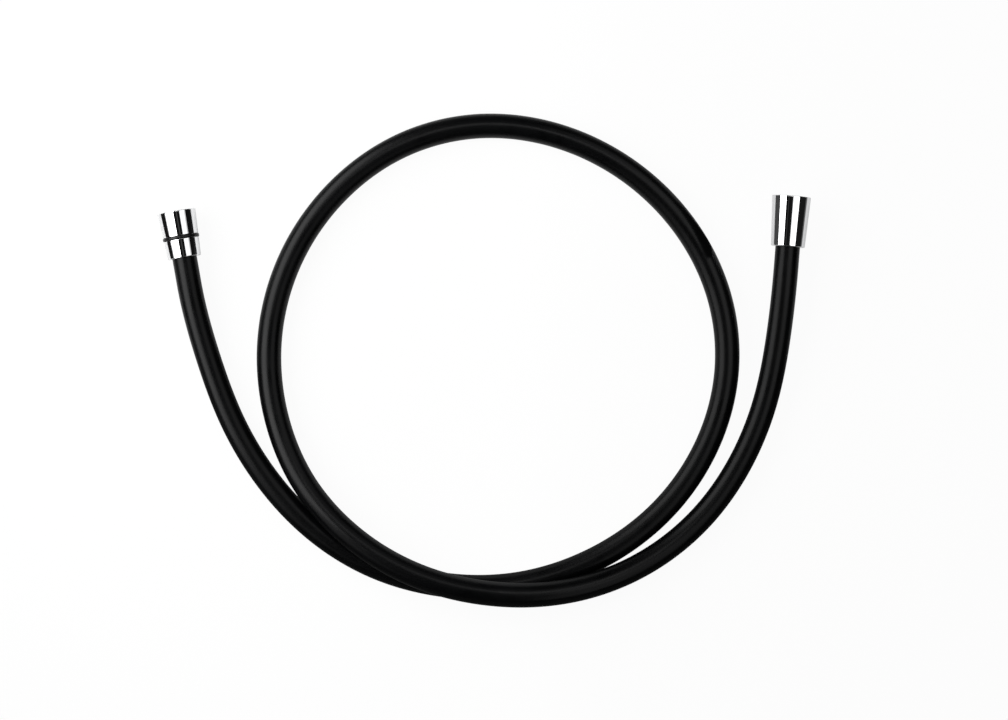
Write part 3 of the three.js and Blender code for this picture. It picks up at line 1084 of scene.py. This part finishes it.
def cloth(name, brightness, at_floor=None):
    """An even cloth's material, or one that changes from its brightness at the floor."""
    material = bpy.data.materials.new(name)
    tree = bare_tree(material)
    # With at_floor given, the glow is a painted gradient of light: at_floor at the table, and the
    # brightness from CLOTH_FADE up.
    if at_floor is not None:
        spot = add_node(tree, "ShaderNodeTexCoord").outputs["Object"]
        height = add_node(tree, "ShaderNodeSeparateXYZ", [(0, spot)]).outputs["Z"]
        brightness = add_node(tree, "ShaderNodeMapRange",
                              [("Value", height), ("From Max", CLOTH_FADE), ("To Min", at_floor),
                               ("To Max", brightness)],
                              interpolation_type="SMOOTHSTEP").outputs[0]
    face = add_node(tree, "ShaderNodeEmission", [("Color", WHITE), ("Strength", brightness)])
    add_node(tree, "ShaderNodeOutputMaterial", [("Surface", face.outputs[0])])
    return material


black_cloth = cloth("black_cloth", 0.01)
grey_cloth = cloth("grey_cloth", 0.06)
painted_fade_cloth = cloth("painted_fade_cloth", 0.025, at_floor=0.2)
print("cloths", [c.name for c in (black_cloth, grey_cloth, painted_fade_cloth)])


# %% Hang a cloth
def hang(name, material, corners):
    """A cloth between four corners that only glossy rays see."""
    mesh = bpy.data.meshes.new(name)
    mesh.from_pydata(corners, [], [(0, 1, 2, 3)])
    mesh.materials.append(material)
    panel = new_piece(name, mesh)
    panel.visible_camera = False
    panel.visible_diffuse = False
    panel.visible_shadow = False
    panel.visible_transmission = False
    return panel


def level_cloth(name, material, x, y, z):
    """A level cloth; x and y are each (from, to)."""
    return hang(name, material, [(x[0], y[0], z), (x[1], y[0], z),
                                 (x[1], y[1], z), (x[0], y[1], z)])


def upright_cloth(name, material, x, y, z):
    """A cloth on edge, from one (x, y) corner to the other; each is (from, to)."""
    return hang(name, material, [(x[0], y[0], z[0]), (x[1], y[1], z[0]),
                                 (x[1], y[1], z[1]), (x[0], y[0], z[1])])


print("helpers for cloths are ready")

# %% The cloths' places
LONG = (-3, 3)
OVERHEAD = 2.3
ON_TABLE = 0.0003
LEFT, RIGHT = -1.6, 2

level_cloth("overhead_cloth", black_cloth, x=(-1.5, 0.7), y=LONG, z=OVERHEAD)
level_cloth("overhead_line", grey_cloth, x=(-0.19, -0.1), y=(-1, 0.1), z=0.99)
upright_cloth("right_cloth", black_cloth, x=(RIGHT, RIGHT), y=LONG, z=(0, 1.85))
level_cloth("right_floor_cloth", black_cloth, x=(0.6, RIGHT), y=LONG, z=ON_TABLE)
upright_cloth("left_cloth", black_cloth, x=(LEFT, LEFT), y=LONG, z=(0, 0.45))
level_cloth("left_floor_cloth", black_cloth, x=(LEFT, -0.254), y=LONG, z=ON_TABLE)
# The cone card is a painted shadow: a dim sheet that the cone nut mirrors where the hose's shadow
# lies on the table beside it.
upright_cloth("cone_painted_shadow_card", grey_cloth, x=(0.142, 0.142), y=(-0.015, 0.035), z=(0, 0.034))
upright_cloth("near_cloth", painted_fade_cloth, x=LONG, y=(-3, -3), z=(0, OVERHEAD))
upright_cloth("far_cloth", painted_fade_cloth, x=LONG, y=(3, 3), z=(0, OVERHEAD))

# %% [markdown]
# ## A scrim
#
# The hose's left side is brighter on the picture's left than on its right. A scrim, a thin net
# that dims the softboxes behind it, stands between the two halves and gives that step. Unlike
# the cloths it casts a shadow, a pale one, since most of the light passes through it.

# %% Scrim
SCRIM_PASSES = (0.6, 0.6, 0.6, 1)

scrim_net = bpy.data.materials.new("scrim_net")
tree = bare_tree(scrim_net)
net = add_node(tree, "ShaderNodeBsdfTransparent", [("Color", SCRIM_PASSES)])
add_node(tree, "ShaderNodeOutputMaterial", [("Surface", net.outputs[0])])
scrim = upright_cloth("scrim", scrim_net, x=(0.01, 0.01), y=(-1, 1), z=(0.04, 1.3))
scrim.visible_shadow = True
print("the scrim lets through", SCRIM_PASSES[0], "of the light")

# %% [markdown]
#
# The Standard view shows each colour as it is written, with no film look over it.

scene = bpy.context.scene
scene.view_settings.view_transform = "Standard"
